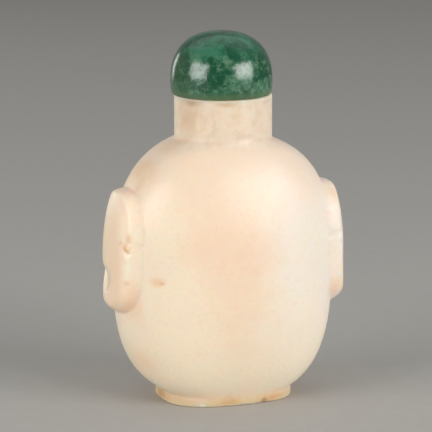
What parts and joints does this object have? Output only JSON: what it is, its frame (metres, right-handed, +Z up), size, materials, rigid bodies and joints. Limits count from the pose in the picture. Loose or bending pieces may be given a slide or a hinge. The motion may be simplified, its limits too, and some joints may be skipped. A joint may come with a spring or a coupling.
{
  "type": "snuff bottle",
  "caption": "Flattened oval hardstone snuff bottle with a straight round neck, oval foot ring, mock mask-and-ring handles and a lift-off domed stopper.",
  "frame": {"origin": "on the ground under the axis of the neck, at the middle of the foot ring", "axes": "+Z up along the neck, +X towards one narrow side and its handle, +Y through the broad back"},
  "size_m": [0.0437, 0.0264, 0.0645],
  "materials": {
    "pale_stone": "polished, worn, milky hardstone",
    "green_stone": "high polish, mottled green hardstone",
    "cork": "dry matt cork"
  },
  "bodies": {
    "root": {"bottle": "pale_stone", "stopper": "green_stone", "stopper_cork": "cork"}
  },
  "joints": []
}
